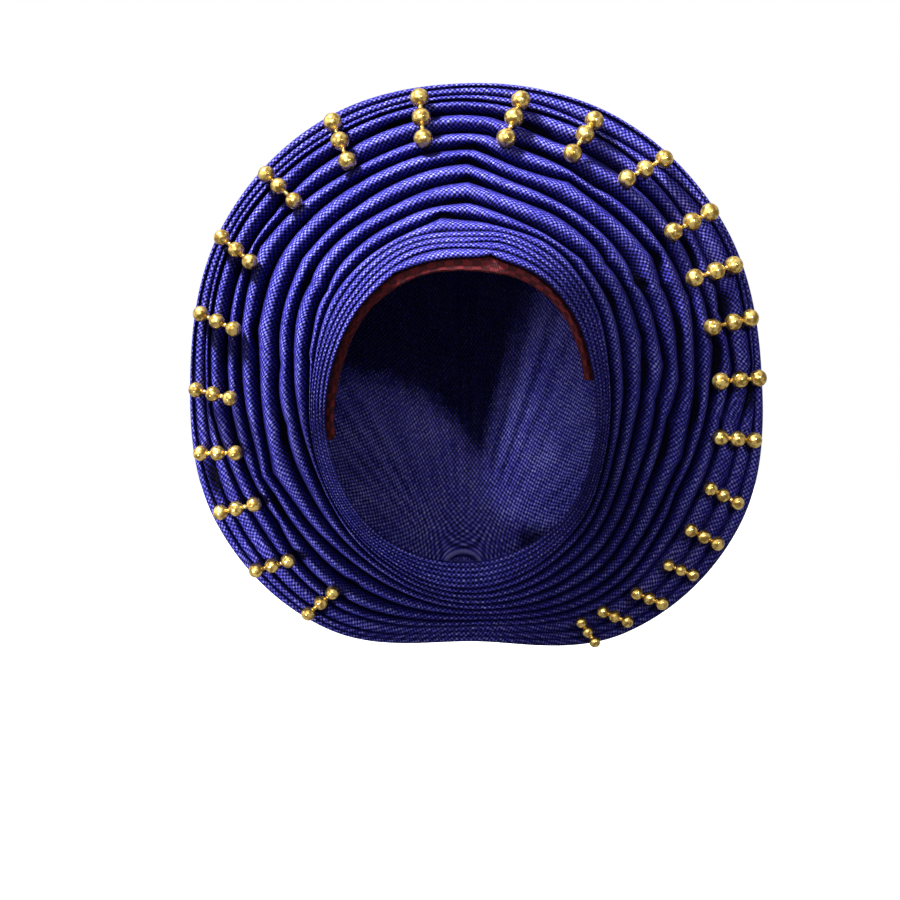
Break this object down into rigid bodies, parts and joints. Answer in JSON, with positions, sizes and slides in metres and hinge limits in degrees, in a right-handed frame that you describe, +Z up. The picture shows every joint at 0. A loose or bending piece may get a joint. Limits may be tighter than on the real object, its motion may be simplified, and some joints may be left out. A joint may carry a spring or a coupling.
{
  "type": "tied gele head tie",
  "caption": "Pleated blue cloth head tie that fans out round the face, gathered to a knot at the nape, with short strips of gold beads over its rim.",
  "frame": {"origin": "the point inside the head tie where the crown of the wearer's head sits", "axes": "+Z up, -Y the way the wearer faces, +X the wearer's left"},
  "size_m": [0.2985, 0.226, 0.2945],
  "materials": {
    "blue_cloth": "woven, soft sheen",
    "maroon_cloth": "woven, matt",
    "gold_bead": "polished gold"
  },
  "bodies": {
    "root": {"pleated_fan": "blue_cloth", "back_wrap": "blue_cloth", "inner_band": "maroon_cloth", "nape_knot": "blue_cloth", "bead_strip_01": "gold_bead", "bead_strip_02": "gold_bead", "bead_strip_03": "gold_bead", "bead_strip_04": "gold_bead", "bead_strip_05": "gold_bead", "bead_strip_06": "gold_bead", "bead_strip_07": "gold_bead", "bead_strip_08": "gold_bead", "bead_strip_09": "gold_bead", "bead_strip_10": "gold_bead", "bead_strip_11": "gold_bead", "bead_strip_12": "gold_bead", "bead_strip_13": "gold_bead", "bead_strip_14": "gold_bead", "bead_strip_15": "gold_bead", "bead_strip_16": "gold_bead", "bead_strip_17": "gold_bead", "bead_strip_18": "gold_bead", "bead_strip_19": "gold_bead", "bead_strip_20": "gold_bead", "bead_strip_21": "gold_bead", "bead_strip_22": "gold_bead", "bead_strip_23": "gold_bead", "bead_strip_24": "gold_bead"}
  },
  "joints": []
}
